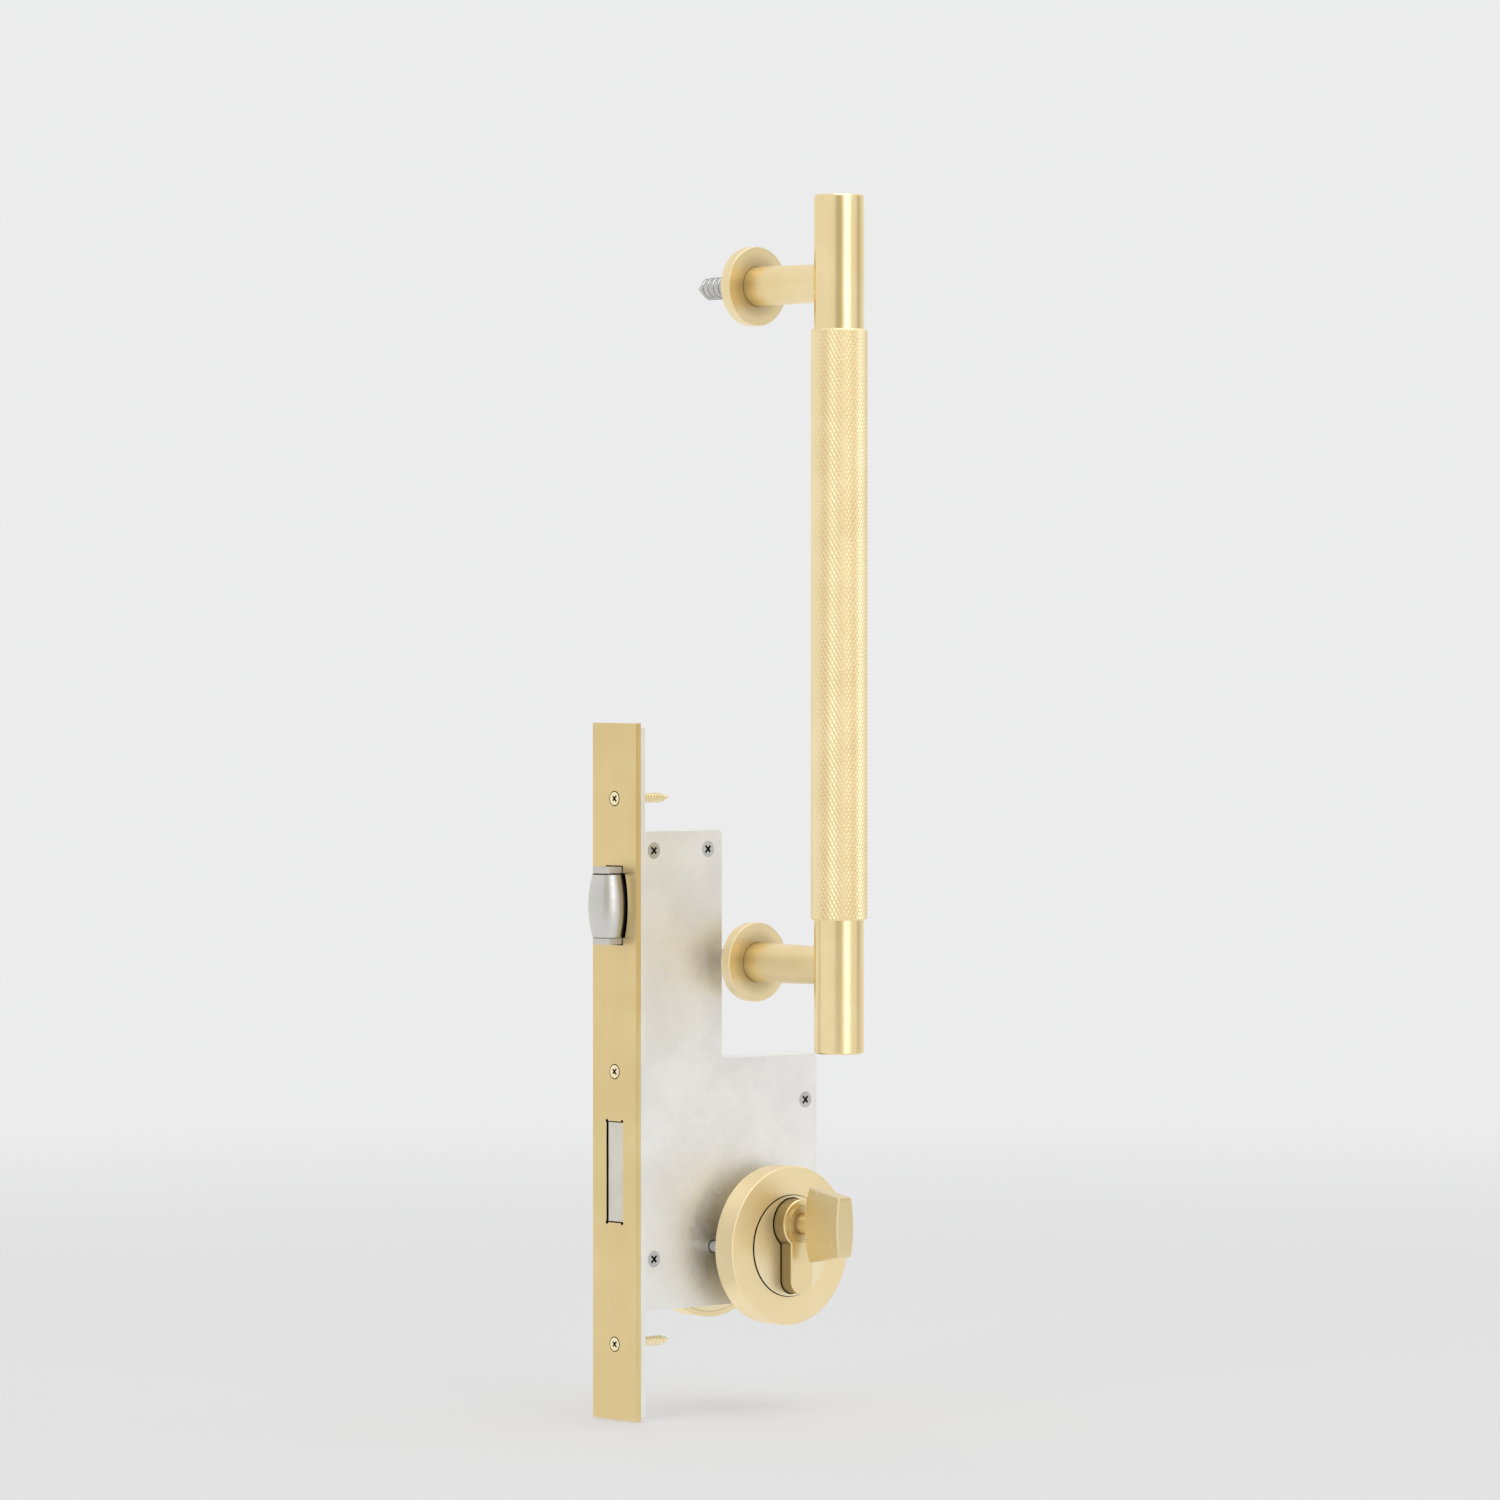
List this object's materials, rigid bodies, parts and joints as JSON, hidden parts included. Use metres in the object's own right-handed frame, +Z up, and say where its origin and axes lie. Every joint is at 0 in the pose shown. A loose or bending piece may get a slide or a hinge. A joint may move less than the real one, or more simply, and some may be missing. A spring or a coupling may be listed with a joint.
{
  "type": "entry lock set",
  "caption": "Entry lock set in satin brass: a knurled pull handle on two posts, a mortice lock with roller latch and deadbolt, and a cylinder with thumb turn.",
  "frame": {"origin": "cylinder axis where it crosses the door's inner face", "axes": "+X along the door's width away from its lock edge, +Y through the door from the inner to the outer face, +Z up"},
  "size_m": [0.0974, 0.1012, 0.4206],
  "materials": {
    "satin_brass": "satin brushed brass, clear coated",
    "knurled_brass": "fine diamond knurl in satin brass",
    "faceplate_brass": "lengthwise brushed satin brass",
    "brass_screw": "satin brass plated screw",
    "pin_brass": "plain turned brass",
    "stainless_steel": "satin stainless steel",
    "bolt_steel": "ground steel",
    "case_steel": "zinc plated sheet steel",
    "spring_steel": "bright spring steel",
    "inner_steel": "plain pressed steel",
    "fixing_steel": "zinc plated steel"
  },
  "bodies": {
    "lock_body": {"grip_tube": "knurled_brass", "tie_rod": "fixing_steel", "upper_end_bar": "satin_brass", "lower_end_bar": "satin_brass", "upper_post": "satin_brass", "lower_post": "satin_brass", "upper_rose": "satin_brass", "lower_rose": "satin_brass", "post_screws": "fixing_steel", "door_studs": "fixing_steel", "inner_rose_base": "satin_brass", "inner_rose_cover": "satin_brass", "outer_rose_base": "satin_brass", "outer_rose_cover": "satin_brass", "rose_bolts": "fixing_steel", "cylinder_body": "satin_brass", "outer_plug": "satin_brass", "plug_clip": "spring_steel", "key_pins": "pin_brass", "driver_pins": "pin_brass", "pin_springs": "spring_steel", "chamber_plugs": "pin_brass", "cylinder_screw": "fixing_steel", "faceplate": "faceplate_brass", "forend": "case_steel", "faceplate_wood_screws": "brass_screw", "faceplate_centre_screw": "brass_screw", "lock_case": "case_steel", "case_cover": "case_steel", "case_posts": "fixing_steel", "cover_screws": "fixing_steel", "tail_guides": "fixing_steel", "detent_spring": "spring_steel", "roller_spring": "spring_steel", "spring_bracket": "inner_steel", "bracket_rivets": "fixing_steel"},
    "turn": {"turn_spindle": "satin_brass", "turn_knob": "satin_brass", "knob_pin": "fixing_steel", "cam": "inner_steel", "clutch_coupler": "inner_steel", "spindle_clip": "spring_steel"},
    "deadbolt": {"deadbolt_head": "bolt_steel", "deadbolt_tail": "inner_steel", "tail_rivets": "fixing_steel"},
    "roller_fork": {"roller_carriage": "stainless_steel", "roller_pin": "fixing_steel"},
    "roller_barrel": {"roller": "stainless_steel"}
  },
  "joints": [
    {"name": "thumb_turn", "type": "hinge", "parent": "lock_body", "child": "turn", "pos_m": [0, 0.016, 0], "axis": [0, -1, 0], "range_deg": [0, 75.95]},
    {"name": "deadbolt_throw", "type": "slide", "parent": "lock_body", "child": "deadbolt", "axis": [-1, 0, 0], "range_m": [0, 0.016], "deforming": ["detent_spring"]},
    {"name": "roller_push", "type": "slide", "parent": "lock_body", "child": "roller_fork", "axis": [1, 0, 0], "range_m": [0, 0.008], "stiffness_N_per_m": 600, "springref_m": -0.012, "deforming": ["roller_spring"]},
    {"name": "roller_spin", "type": "hinge", "parent": "roller_fork", "child": "roller_barrel", "pos_m": [-0.0632, 0.016, 0.1113], "axis": [0, 0, 1], "continuous": true}
  ],
  "couplings": [
    {"joint": "thumb_turn", "follows": "deadbolt_throw", "rad_per_m": 82.849}
  ]
}
